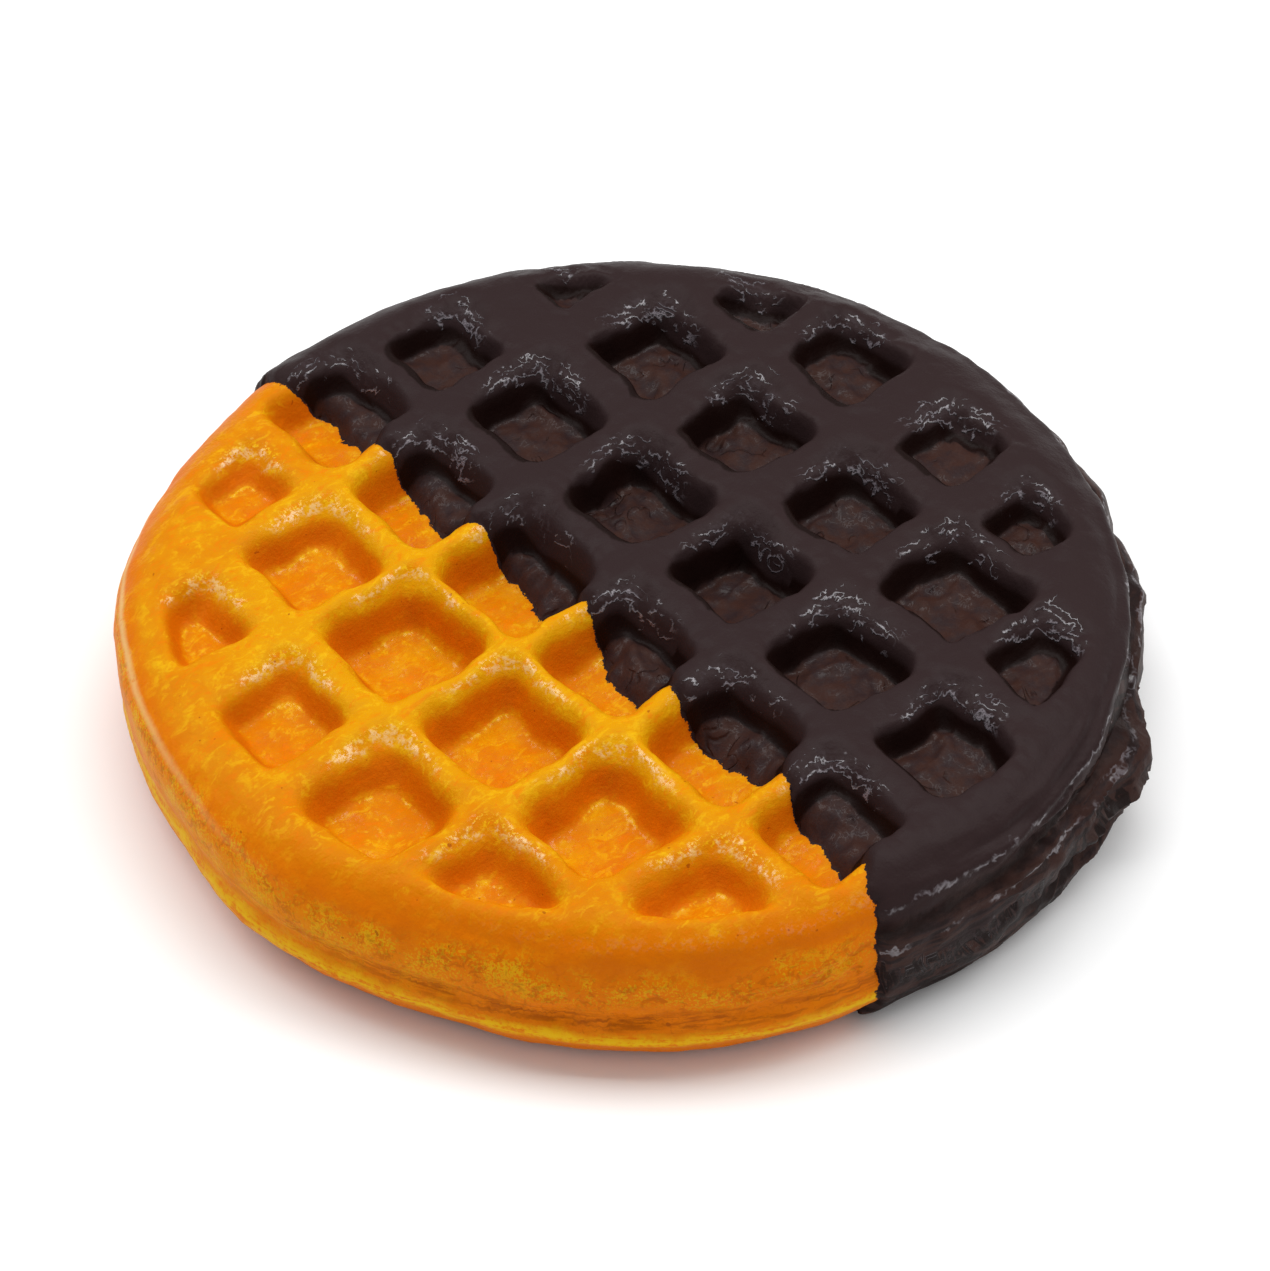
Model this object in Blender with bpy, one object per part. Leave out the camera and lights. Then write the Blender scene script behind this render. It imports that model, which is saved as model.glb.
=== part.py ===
"""A round waffle, half dipped in chocolate, made as a solid display copy.

The ridges run along X and Y, the dipped half lies towards +X, and the underside stands on z = 0.
The origin is below the middle of the outline.
"""

import math
import random
from collections import namedtuple

import bmesh
import bpy
from mathutils import Vector

# Driving dimensions, in metres
PITCH = 0.015  # from one ridge to the next
POCKETS_ACROSS = 6
RADIUS = 0.0495  # of the bare waffle at its belly
THICKNESS = 0.0161  # of the bare waffle
COAT_GAP = 0.0003  # between the waffle and its coat
COAT_THICKNESS = 0.0007
POCKET_OPENING = 0.0134  # across a pocket at the crests of its ridges
POCKET_DEPTH = 0.0062  # at the middle

# The rim: a wide round shoulder above the belly and a tight round foot below it
SHOULDER_WIDTH = 0.42 * PITCH
# Where the belly lies high, under a broad shoulder and over a wide foot. Each is a share of what it is elsewhere
HIGH_BELLY, HIGH_SHOULDER, HIGH_FOOT = 0.58, 0.25, 0.7
HIGH_MIDDLE, HIGH_SPREAD = 155, 38  # in degrees
# Where only the shoulder is broad
BROAD_SHOULDER = 0.4
BROAD_MIDDLE, BROAD_SPREAD = -8, 32
FOOT_WIDTH = 0.16 * PITCH
BELLY_HEIGHT = 0.45 * THICKNESS
SHOULDER_STEPS = 5
FOOT_STEPS = 4
RIM_SIDES = 64

# How the outline strays from a circle: harmonic, then its cosine and sine parts
OUTLINE_WAVES = ((2, -0.00022, -0.00057), (3, 0.00019, -0.00001))
# Dents and swells of the outline: degrees round from +X, height, half width in degrees
OUTLINE_SWELLS = (
    (90, -0.0007, 14),
    (138, 0.0006, 13),
    (169, -0.0008, 10),
    (176, 0.00185, 25),
    (118, -0.0005, 13),
    (-155, -0.0005, 10),
    (-98, -0.0007, 11),
)
# Where the chocolate ran down and set as a lip round the lower rim
COAT_LIP = 0.0004
COAT_LUMPS = ((-61, 0.0017, 8), (-38, 0.0006, 6), (-18, 0.0005, 7), (12, 0.0005, 9))
LIP_HEIGHT, LIP_SPREAD = 0.8, 0.6  # shares of the belly's height

# A pocket, from its crest to its floor: share of the opening, share of the depth
POCKET_LEVELS = ((1.0, 0.0), (0.88, 0.12), (0.72, 0.92), (0.64, 1.0))
BACK_POCKET_LEVELS = ((1.0, 0.0), (0.88, 0.12), (0.66, 1.0))
# The same for the coat, which has steep walls and lies thick on the floors. Its thickness comes off these openings
COAT_POCKET_LEVELS = ((1.0, 0.0), (0.94, 0.09), (0.84, 0.72), (0.78, 0.78))
COAT_BACK_POCKET_LEVELS = ((1.0, 0.0), (0.94, 0.09), (0.8, 0.78))
# Pockets of the top face that stray from the rest. Column and row from the middle, in pitches:
# share of the usual size, share of the usual depth, and the shift of the centre in pitches
ODD_POCKETS = {
    (-2.5, 1.5): (0.7, 0.85, (0.02, -0.02)),
    (-1.5, 2.5): (0.62, 0.7, (0.06, -0.2)),
    (-1.5, 1.5): (1.0, 0.85, (0.0, 0.0)),
    (0.5, 2.5): (0.88, 0.85, (-0.08, -0.06)),
    (1.5, 2.5): (0.75, 0.65, (0.01, -0.05)),
    (2.5, 1.5): (0.75, 0.95, (-0.12, -0.08)),
    (2.5, 0.5): (0.92, 1.0, (-0.05, 0.04)),
    (2.5, -0.5): (0.82, 0.8, (-0.1, -0.02)),
    (2.5, -1.5): (0.68, 1.0, (-0.22, 0.1)),
    (1.5, -2.5): (0.86, 1.0, (-0.05, 0.14)),
    (1.5, 0.5): (0.95, 1.0, (-0.05, 0.0)),
}
CORNER_CUT = 0.22  # of half the opening, off each corner of a pocket
RIM_MARGIN = 0.30 * PITCH  # least width of the rim beside a pocket
FLOOR_ROOM = 0.22  # least share of a pocket's opening left at its floor inside the coat
PLACE_WOBBLE = 0.00025
SIZE_WOBBLE = 0.04
DEPTH_WOBBLE = 0.07
DEPTH_FADE = 0.3  # of the depth, lost by the outermost pockets
FADE_REACH = 2.9  # pitches from the middle to those
CUTTER_RISE = 0.004  # how far a cutter stands out of the surface

# The edge of the dip, seen from above
DIP_LINE = -0.45 * PITCH
DIP_CURL = 0.22 * PITCH  # how far it bends back where it meets the rim
CURL_POWER = 5
DIP_RAGS = 0.05 * PITCH
RAG_WAVES = ((1.0, 9.7, 0.6), (0.6, 23.3, 2.1), (0.3, 41.0, 0.0))  # share, turn per radius, start
DIP_POINTS = 41
DIP_REACH = 1.3 * RADIUS  # of the cutter, past the waffle on every side

COAT_SWELL = COAT_GAP + COAT_THICKNESS
SEED = 11

# sRGB colours
BAKED_YELLOW = (0.93, 0.61, 0.05)
DARK_CHOCOLATE = (0.22, 0.17, 0.17)

Pocket = namedtuple("Pocket", "outline centre inradius depth")


def bump(angle, middle, half_width):
    """A smooth swell round the rim, 1 at its middle and 0 far from it. All in degrees."""
    away = (angle - middle + 180) % 360 - 180
    return math.exp(-((away / half_width) ** 2))


def outline_radius(angle):
    """The belly's radius at an angle in radians round from +X."""
    radius = RADIUS
    for count, cosine, sine in OUTLINE_WAVES:
        radius += cosine * math.cos(count * angle) + sine * math.sin(count * angle)
    for middle, height, width in OUTLINE_SWELLS:
        radius += height * bump(math.degrees(angle), middle, width)
    return radius


def lip(angle, height):
    """How far the coat stands out further round its lower rim. It fades towards the dip edge."""
    low = math.exp(-(((height / BELLY_HEIGHT - LIP_HEIGHT) / LIP_SPREAD) ** 2))
    lumps = sum(size * bump(math.degrees(angle), middle, width) for middle, size, width in COAT_LUMPS)
    return low * (COAT_LIP * max(math.cos(angle), 0) + lumps)


def rim_profile(angle):
    """The rim from its top edge to its bottom edge: inset from the belly's radius, height."""
    high = bump(math.degrees(angle), HIGH_MIDDLE, HIGH_SPREAD)
    broad = bump(math.degrees(angle), BROAD_MIDDLE, BROAD_SPREAD)
    belly = BELLY_HEIGHT * (1 + HIGH_BELLY * high)
    shoulder = SHOULDER_WIDTH * (1 + HIGH_SHOULDER * high + BROAD_SHOULDER * broad)
    foot = FOOT_WIDTH * (1 + HIGH_FOOT * high)
    profile = []
    for step in range(SHOULDER_STEPS + 1):
        turn = math.pi / 2 * (1 - step / SHOULDER_STEPS)
        profile.append((shoulder * (1 - math.cos(turn)), belly + (THICKNESS - belly) * math.sin(turn)))
    for step in range(1, FOOT_STEPS + 1):
        turn = math.pi / 2 * step / FOOT_STEPS
        profile.append((foot * (1 - math.cos(turn)), belly * (1 - math.sin(turn))))
    return profile


def swollen_height(height, swell):
    """A height moved away from the middle of the waffle, so that the whole grows by swell."""
    return height + swell * (2 * height / THICKNESS - 1)


def loft(bm, rings):
    """A closed body through rings of equally many points, the first ring on top."""
    loops = [[bm.verts.new(point) for point in ring] for ring in rings]
    count = len(loops[0])
    for upper, lower in zip(loops, loops[1:]):
        for i in range(count):
            j = (i + 1) % count
            bm.faces.new((upper[i], lower[i], lower[j], upper[j]))
    bm.faces.new(loops[0])
    bm.faces.new(loops[-1][::-1])


def new_object(name, bm):
    bmesh.ops.recalc_face_normals(bm, faces=bm.faces)
    mesh = bpy.data.meshes.new(name)
    bm.to_mesh(mesh)
    bm.free()
    obj = bpy.data.objects.new(name, mesh)
    bpy.context.scene.collection.objects.link(obj)
    return obj


def disc(name, swell, with_lip=False):
    """The waffle without pockets, grown by swell on every side."""
    columns = []
    for side in range(RIM_SIDES):
        angle = 2 * math.pi * side / RIM_SIDES
        column = []
        for inset, height in rim_profile(angle):
            radius = outline_radius(angle) - inset + swell
            if with_lip:
                radius += lip(angle, height)
            flat = Vector((math.cos(angle), math.sin(angle))) * radius
            column.append(Vector((flat.x, flat.y, swollen_height(height, swell))))
        columns.append(column)
    bm = bmesh.new()
    loft(bm, list(zip(*columns)))
    return new_object(name, bm)


def pocket_outline(centre, half):
    """A square with its corners cut, drawn in where it would come too near the rim."""
    cut = half * (1 - CORNER_CUT)
    corners = ((half, -cut), (half, cut), (cut, half), (-cut, half))
    corners += tuple((-x, -y) for x, y in corners)
    outline = []
    for x, y in corners:
        point = Vector((centre.x + x, centre.y + y))
        limit = outline_radius(math.atan2(point.y, point.x)) - RIM_MARGIN
        if point.length > limit:
            point *= limit / point.length
        outline.append(point)
    return outline


def inradius(outline, centre):
    """The distance from the centre to the nearest side."""
    distances = []
    for a, b in zip(outline, outline[1:] + outline[:1]):
        side = b - a
        if side.length > 0:
            distances.append(abs(side.cross(centre - a)) / side.length)
    return min(distances)


def pockets(seed, odd_ones):
    """All pockets of one face, each a little out of place and out of size, and some of them more so."""
    draw = random.Random(seed)
    middle = (POCKETS_ACROSS - 1) / 2
    found = []
    for column in range(POCKETS_ACROSS):
        for row in range(POCKETS_ACROSS):
            wobble = Vector((draw.uniform(-1, 1), draw.uniform(-1, 1))) * PLACE_WOBBLE
            half = POCKET_OPENING / 2 * (1 + draw.uniform(-1, 1) * SIZE_WOBBLE)
            depth = POCKET_DEPTH * (1 + draw.uniform(-1, 1) * DEPTH_WOBBLE)
            place = Vector((column - middle, row - middle))
            if abs(place.x) == middle and abs(place.y) == middle:
                continue
            depth *= 1 - DEPTH_FADE * (place.length / FADE_REACH) ** 2
            size, sink, shift = odd_ones.get(tuple(place), (1, 1, (0, 0)))
            outline = pocket_outline((place + Vector(shift)) * PITCH + wobble, half * size)
            centre = sum(outline, Vector((0, 0))) / len(outline)
            depth *= sink
            found.append(Pocket(outline, centre, inradius(outline, centre), depth))
    return found


def pocket_rings(pocket, swell, levels, turned_over):
    """The rings of a cutter, drawn in and lifted by swell to leave room for what lines the pocket."""
    rings = []
    shrink = swell / pocket.inradius
    room = COAT_SWELL / pocket.inradius + FLOOR_ROOM
    for share, sink in levels:
        scale = max(share, min(room, 1.0)) - shrink
        height = THICKNESS + swell - pocket.depth * sink
        ring = [pocket.centre + (point - pocket.centre) * scale for point in pocket.outline]
        rings.append([Vector((p.x, p.y, height)) for p in ring])
    rings.insert(0, [point + Vector((0, 0, CUTTER_RISE)) for point in rings[0]])
    if turned_over:
        rings = [[Vector((p.x, p.y, THICKNESS - p.z)) for p in ring] for ring in rings]
    return rings


def pocket_cutters(name, swell, levels=POCKET_LEVELS, back_levels=BACK_POCKET_LEVELS):
    """One cutter for each pocket of both faces."""
    bm = bmesh.new()
    for pocket in pockets(SEED, ODD_POCKETS):
        loft(bm, pocket_rings(pocket, swell, levels, False))
    for pocket in pockets(SEED + 1, {}):
        loft(bm, pocket_rings(pocket, swell, back_levels, True))
    return hidden(new_object(name, bm))


def dip_edge(y):
    """Where the chocolate ends, as x at a given y: nearly straight, ragged, bent back at the rim."""
    reach = y / RADIUS
    curl = DIP_CURL * min(abs(reach), 1.0) ** CURL_POWER
    rags = sum(share * math.sin(turns * reach + start) for share, turns, start in RAG_WAVES)
    return DIP_LINE - curl + DIP_RAGS * rags


def dipped_side(name):
    """A block that holds everything on the chocolate's side of the dip edge."""
    edge = []
    for step in range(DIP_POINTS):
        y = DIP_REACH * (2 * step / (DIP_POINTS - 1) - 1)
        edge.append(Vector((dip_edge(y), y)))
    outline = edge + [Vector((DIP_REACH, DIP_REACH)), Vector((DIP_REACH, -DIP_REACH))]
    bm = bmesh.new()
    heights = (THICKNESS + DIP_REACH, -DIP_REACH)
    loft(bm, [[Vector((p.x, p.y, height)) for p in outline] for height in heights])
    return hidden(new_object(name, bm))


def hidden(obj):
    """Marks a cutter or a guide, which is not part of the model."""
    obj.hide_render = True
    obj.display_type = "WIRE"
    return obj


def boolean(obj, operation, other, solver="EXACT"):
    modifier = obj.modifiers.new(other.name, "BOOLEAN")
    modifier.operation = operation
    modifier.solver = solver
    modifier.object = other


def linear(colour):
    """An sRGB colour as the linear values that a shader takes."""
    return tuple(((c + 0.055) / 1.055) ** 2.4 if c > 0.04045 else c / 12.92 for c in colour) + (1,)


def give_material(obj, name, colour, roughness):
    material = bpy.data.materials.new(name)
    material.use_nodes = True
    shader = material.node_tree.nodes["Principled BSDF"]
    shader.inputs["Base Color"].default_value = linear(colour)
    shader.inputs["Roughness"].default_value = roughness
    shader.inputs["Metallic"].default_value = 0.0
    obj.data.materials.append(material)


def make_waffle():
    """The body: one solid with pockets in both faces."""
    waffle = disc("waffle", 0)
    boolean(waffle, "DIFFERENCE", pocket_cutters("waffle_pockets", 0))
    give_material(waffle, "painted_waffle", BAKED_YELLOW, 0.35)
    return waffle


def make_coat():
    """The chocolate: a shell that wraps the dipped half on its top, rim and underside.

    The exact solver leaves open edges where the thin shell crosses the dip edge, and this one does not.
    """
    solver = "MANIFOLD"
    inside = hidden(disc("coat_inside", COAT_GAP))
    boolean(inside, "DIFFERENCE", pocket_cutters("coat_inside_pockets", COAT_GAP))
    coat = disc("chocolate_coat", COAT_SWELL, with_lip=True)
    cutters = pocket_cutters("coat_pockets", COAT_SWELL, COAT_POCKET_LEVELS, COAT_BACK_POCKET_LEVELS)
    boolean(coat, "DIFFERENCE", cutters, solver)
    boolean(coat, "INTERSECT", dipped_side("dipped_side"), solver)
    boolean(coat, "DIFFERENCE", inside, solver)
    give_material(coat, "dark_chocolate", DARK_CHOCOLATE, 0.4)
    return coat


def bounds(objects):
    """The lowest and highest corner of what the objects show."""
    graph = bpy.context.evaluated_depsgraph_get()
    points = [v.co.copy() for obj in objects for v in obj.evaluated_get(graph).data.vertices]
    low = Vector([min(p[axis] for p in points) for axis in range(3)])
    high = Vector([max(p[axis] for p in points) for axis in range(3)])
    return low, high


def stand_on_origin(objects):
    """Moves everything so that the underside's middle is the origin."""
    low, high = bounds(objects)
    frame = bpy.data.objects.new("waffle_frame", None)
    bpy.context.scene.collection.objects.link(frame)
    for obj in bpy.context.scene.objects:
        if obj is not frame:
            obj.parent = frame
    frame.location = (-(low.x + high.x) / 2, -(low.y + high.y) / 2, -low.z)
    bpy.context.view_layer.update()


def main():
    for obj in list(bpy.data.objects):
        bpy.data.objects.remove(obj, do_unlink=True)
    parts = [make_waffle(), make_coat()]
    for part in parts:
        part.data.shade_smooth()
        part.data.set_sharp_from_angle(angle=math.radians(35))
    stand_on_origin(parts)


main()
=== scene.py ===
"""The looks of a round waffle, half dipped in chocolate: a painted display copy on a pale table.

X and Y run along the ridges, +X points to the dipped half, and the underside stands on z = 0. The body and
the coat are each one fine mesh, shaped by the same functions as the solids that they stand for.
"""

import math
import random
from collections import namedtuple

import bmesh
import bpy
import numpy as np
from bpy.props import FloatProperty, FloatVectorProperty, IntProperty, PointerProperty
from mathutils import Matrix, Vector, noise


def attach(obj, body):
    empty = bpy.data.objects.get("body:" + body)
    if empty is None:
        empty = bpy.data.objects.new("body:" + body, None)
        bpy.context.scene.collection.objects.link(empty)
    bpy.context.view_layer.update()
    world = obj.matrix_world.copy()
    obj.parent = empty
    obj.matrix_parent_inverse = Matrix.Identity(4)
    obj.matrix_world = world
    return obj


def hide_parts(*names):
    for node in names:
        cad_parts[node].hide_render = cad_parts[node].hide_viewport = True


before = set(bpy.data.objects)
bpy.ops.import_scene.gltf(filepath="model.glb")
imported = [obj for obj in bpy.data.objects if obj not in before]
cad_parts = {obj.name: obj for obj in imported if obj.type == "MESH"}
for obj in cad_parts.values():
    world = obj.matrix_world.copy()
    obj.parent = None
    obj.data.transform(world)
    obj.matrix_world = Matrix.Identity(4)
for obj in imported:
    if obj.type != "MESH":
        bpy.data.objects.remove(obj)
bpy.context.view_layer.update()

bl_info = {
    "name": "Chocolate-dipped waffle",
    "version": (1, 0, 0),
    "blender": (4, 5, 0),
    "location": "View3D > Sidebar > Waffle",
    "description": "Builds a painted display copy of a waffle with one half dipped in chocolate",
    "category": "Object",
}

MM = 0.001
SEED = 11  # of the pockets' unevenness

# The middle of the pocket grid, and the lift of the bare waffle above the table
GRID_MIDDLE = Vector((-0.125 * MM, 0.19 * MM, 1.0 * MM))

POCKETS_ACROSS = 6
# The form of a pocket. levels: share of the opening and share of the depth, from crest to floor.
# softness: of its corners. fill: share of the depth that is left open. brow: how far the crest at the
# pocket's far corner slopes down, over a width called reach. crown: how far every crest slopes down
Form = namedtuple("Form", "levels softness fill brow reach crown")
BARE = Form(
    levels=((1.0, 0.0), (0.88, 0.12), (0.72, 0.92), (0.64, 1.0)),
    softness=0.8 * MM,
    fill=0.93,
    brow=0.7 * MM,
    reach=1.6 * MM,
    crown=0.25 * MM,
)
COATED = Form(
    levels=((1.0, 0.0), (0.92, 0.12), (0.83, 0.93), (0.76, 1.0)),
    softness=0.45 * MM,
    fill=0.78,
    brow=1.1 * MM,
    reach=2.5 * MM,
    crown=0.12 * MM,
)
CROWN_WIDTH = 2.4 * MM
POCKET_ROUNDNESS = 6  # power of the rounded square that a pocket's outline is
RIM_SOFTNESS = 1.2 * MM  # of the corner where the rim cuts a pocket off
PLACE_WOBBLE = 0.25 * MM
SIZE_WOBBLE = 0.04
DEPTH_WOBBLE = 0.07
DEPTH_FADE = 0.3  # of the depth, lost by the outermost pockets
FADE_REACH = 2.9  # pitches from the middle to those
# Pockets of the top face that stray from the rest. Column and row from the middle, in pitches:
# share of the usual size, share of the usual depth, and the shift of the centre in pitches
ODD_POCKETS = {
    (-2.5, 0.5): (0.82, 0.85, (0.02, 0.0)),
    (-2.5, 1.5): (0.7, 0.85, (0.02, -0.02)),
    (-1.5, 2.5): (0.62, 0.7, (0.06, -0.2)),
    (-1.5, 1.5): (0.9, 0.85, (0.02, -0.02)),
    (0.5, 2.5): (0.88, 0.85, (-0.08, -0.06)),
    (1.5, 2.5): (0.75, 0.65, (0.01, -0.05)),
    (2.5, 1.5): (0.75, 0.95, (-0.12, -0.08)),
    (2.5, 0.5): (0.92, 1.0, (-0.05, 0.04)),
    (2.5, -0.5): (0.82, 0.8, (-0.1, -0.02)),
    (2.5, -1.5): (0.68, 1.0, (-0.22, 0.1)),
    (1.5, -2.5): (0.86, 1.0, (-0.05, 0.14)),
    (1.5, 0.5): (0.95, 1.0, (-0.05, 0.0)),
}

# Waves of the outline: how many go round it, and the heights of the cosine and the sine. Swells of the
# outline and lumps of the coat: the middle in degrees, the height, and the half width in degrees
OUTLINE_WAVES = ((2, -0.22 * MM, -0.57 * MM), (3, 0.19 * MM, -0.01 * MM))
OUTLINE_SWELLS = (
    (90, -0.7 * MM, 14),
    (138, 0.6 * MM, 13),
    (169, -0.8 * MM, 10),
    (176, 1.85 * MM, 25),
    (118, -0.5 * MM, 13),
    (-155, -0.5 * MM, 10),
    (-98, -0.7 * MM, 11),
)
# Where the belly lies high, with a broader shoulder and foot. Each is the share that is added there
HIGH_BELLY, HIGH_SHOULDER, HIGH_FOOT = 0.58, 0.25, 0.7
HIGH_MIDDLE, HIGH_SPREAD = 155, 38
# Where only the shoulder is broader, and the top slopes down to a fold
BROAD_SHOULDER = 0.4
BROAD_MIDDLE, BROAD_SPREAD = -8, 32
# Places round the rim are arcs, a middle and a spread in degrees. Heights on it are shares of the thickness,
# with a half width beside them
FRONT_ARC = (-130, 52)
RIM_WANDER = 0.06  # how far the bare rim's relief strays up and down
CREASE, CREASE_DEPTH = (0.41, 0.05), 0.85 * MM
LIP, LIP_HEIGHT = (0.25, 0.11), 0.5 * MM
RIM_FOLDS = ((0.48, 0.004), (0.55, 0.006), (0.63, 0.008))  # height, and its rise with each degree
FOLDS_LEVEL = -105  # the degree at which the folds have those heights
FOLDS_ARC, FOLD_WIDTH, FOLD_DEPTH = (-102, 15), 0.018, 0.45 * MM
BULGE, BULGE_ARC, BULGE_HEIGHT = (0.88, 0.08), (-115, 25), 0.35 * MM
RIM_STREAKS = 0.12 * MM
COAT_LUMPS = (
    (-61, 1.7 * MM, 8),
    (-47, -1.2 * MM, 6),
    (-38, 0.6 * MM, 6),
    (-18, 0.5 * MM, 7),
    (0, 1.2 * MM, 14),
    (26, 1.3 * MM, 11),
)
SCALLOPED_MIDDLE, SCALLOPED_GAIN = -10, 1.5  # the side where the chocolate ran down the most
FLANGE = (0.40, 0.22)
SCALLOP_DEPTH, PUCKER_DEPTH, SCALLOP_POWER = 1.0 * MM, 0.35 * MM, 0.7
FLANGE_BACK = 0.2 * MM  # how far the flange stands back all round
GROOVE, GROOVE_STRAY, GROOVE_DEPTH = (0.72, 0.08), 0.04, 1.5 * MM
BEAD, BEAD_STRAY, BEAD_HEIGHT = (0.86, 0.035), 0.02, 0.4 * MM
SLOT, SLOT_ARC, SLOT_DEPTH = (0.66, 0.07), (-54, 7), 1.8 * MM
COAT_STREAKS, COAT_STREAK_ARC = 0.85 * MM, (-70, 28)
# Unevenness in millimetres of the slow, the quick and the fine ripples
EVERYWHERE = (0.26, 0.13, 0.03)
BARE_CRESTS = (0.0, 0.0, 0.06)
BARE_FLOORS = (0.0, 0.22, 0.08)
COAT_CRESTS = (0.0, 0.12, 0.15)
COAT_FLOORS = (0.4, 0.3, 0.08)
COAT_FINS = 0.3  # height in millimetres of the sharp creases on the coat's floors
DIP_LINE = -6.75 * MM
DIP_CURL = 3.3 * MM
CURL_POWER = 5
DIP_RAGS = 0.75 * MM
# Waves of the dip's edge: share of the rags, radians over one radius, and where they start
RAG_WAVES = ((1.0, 9.7, 0.6), (0.6, 23.3, 2.1), (0.3, 41.0, 0.0))
DIP_TONGUES, DIP_FRAYS = 0.9 * MM, 0.1 * MM
DIP_UNDERSIDE = 1.6 * MM  # how much further the chocolate reaches on the underside
DIP_TUCK = 1.5 * MM  # how far before the edge of the dip the shell begins, out of sight
COAT_TAPER = 0.6 * MM  # how soon past the dip the coat gets thick
COAT_EDGE, COAT_LEAST = -0.05 * MM, -0.35 * MM  # the shell's lift at the dip, and the least it has before it
COAT_FORM = (-0.3 * MM, 3 * MM)  # past the dip, from where to where the pockets take the coat's own form
COAT_INSIDE = -0.4 * MM  # lift of the shell's hidden side
UNDER_COAT, UNDER_COAT_LIFT = (1.2 * MM, 3 * MM), -0.5 * MM  # where the body draws back below the coat
SEAM = 40  # where the degrees round the rim start again for the finishes, in the dipped half
# Arcs of the paint, of the painted highlights and painted shade, and of the lacquer
GOLDEN_ARC = (-210, 62)
HIGHLIGHT_EDGE_ARC = (-215, 46)
STIPPLED_ARC = (-185, 55)
CREASED_ARC = (-130, 75)
SHINING_ARC = (-112, 50)
FOLDED_ARC = (-90, 40)
SLOT_SHADE_ARC = (-52, 14)


class WaffleSizes(bpy.types.PropertyGroup):
    """Sizes of the waffle and of its coat."""

    pitch: FloatProperty(
        name="Pitch", description="From one ridge to the next", default=15 * MM, unit="LENGTH"
    )
    radius: FloatProperty(name="Radius", description="Of the bare waffle", default=49.5 * MM, unit="LENGTH")
    thickness: FloatProperty(
        name="Thickness", description="Of the bare waffle", default=16.1 * MM, unit="LENGTH"
    )
    belly: FloatProperty(
        name="Belly", description="Height of the widest place of the rim", default=7.25 * MM, unit="LENGTH"
    )
    shoulder: FloatProperty(
        name="Shoulder", description="Width of the rim's round top edge", default=6.3 * MM, unit="LENGTH"
    )
    foot: FloatProperty(
        name="Foot", description="Width of the rim's round bottom edge", default=2.4 * MM, unit="LENGTH"
    )
    opening: FloatProperty(
        name="Pocket", description="Width of a pocket at its crests", default=13.4 * MM, unit="LENGTH"
    )
    depth: FloatProperty(name="Depth", description="Of a pocket", default=6.2 * MM, unit="LENGTH")
    rim_margin: FloatProperty(
        name="Rim margin", description="Least width of rim beside a pocket", default=4.5 * MM, unit="LENGTH"
    )
    coat: FloatProperty(
        name="Coat", description="How far the chocolate stands out", default=1.0 * MM, unit="LENGTH"
    )
    lines: IntProperty(name="Mesh lines", description="Lines of the waffle's mesh for each pitch", default=34)
    coat_lines: IntProperty(
        name="Coat mesh lines", description="Lines of the coat's mesh for each pitch", default=38
    )
    hidden_lines: IntProperty(
        name="Hidden mesh lines", description="Lines for each pitch where nothing shows", default=19
    )


class WaffleColours(bpy.types.PropertyGroup):
    """Paint and chocolate colours, with the colours of painted highlights and painted shade, as linear
    values.
    """

    crest: FloatVectorProperty(
        name="Crest", description="Golden paint on the ridges", default=(0.65, 0.283, 0.001), subtype="COLOR"
    )
    orange: FloatVectorProperty(
        name="Orange",
        description="Orange paint in the pockets",
        default=(0.61, 0.187, 0.0005),
        subtype="COLOR",
    )
    # Also painted shade: deepens the pocket walls in part, and draws a dark line at the pockets' near edges
    wall: FloatVectorProperty(
        name="Wall", description="Deep orange on pocket walls", default=(0.58, 0.119, 0.001), subtype="COLOR"
    )
    fleck: FloatVectorProperty(
        name="Fleck", description="Bright yellow flecks", default=(0.75, 0.435, 0.005), subtype="COLOR"
    )
    gold: FloatVectorProperty(
        name="Rim gold",
        description="Stippled olive gold on the rim",
        default=(0.70, 0.350, 0.005),
        subtype="COLOR",
    )
    flame: FloatVectorProperty(
        name="Rim orange",
        description="Orange paint on the rim",
        default=(0.715, 0.165, 0.001),
        subtype="COLOR",
    )
    # Also painted shade: darkens the rim's crease, folds and shaded band
    rust_brown_and_shade: FloatVectorProperty(
        name="Rust",
        description="Brown orange in the folds of the rim",
        default=(0.31, 0.060, 0.002),
        subtype="COLOR",
    )
    # A painted highlight: pale cream for the light caught on the far crests and on the left rim's edge
    painted_highlight_cream: FloatVectorProperty(
        name="Cream", description="Pale worn edges", default=(0.72, 0.435, 0.165), subtype="COLOR"
    )
    chocolate: FloatVectorProperty(
        name="Chocolate", description="The coat on ridges", default=(0.0245, 0.0130, 0.0133), subtype="COLOR"
    )
    cocoa: FloatVectorProperty(
        name="Cocoa",
        description="The coat on floors and streaks",
        default=(0.038, 0.0150, 0.0108),
        subtype="COLOR",
    )
    # A painted highlight: pale grey for the light caught on the coat's wrinkled crests and its shoulder
    painted_highlight_grey: FloatVectorProperty(
        name="Bloom", description="Pale wrinkles of the coat", default=(0.195, 0.168, 0.19), subtype="COLOR"
    )
    # Painted shade: near black for the coat's pocket walls, grooves, creases and near edges
    shade: FloatVectorProperty(
        name="Shade",
        description="The coat on pocket walls",
        default=(0.0080, 0.0022, 0.0015),
        subtype="COLOR",
    )


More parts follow.
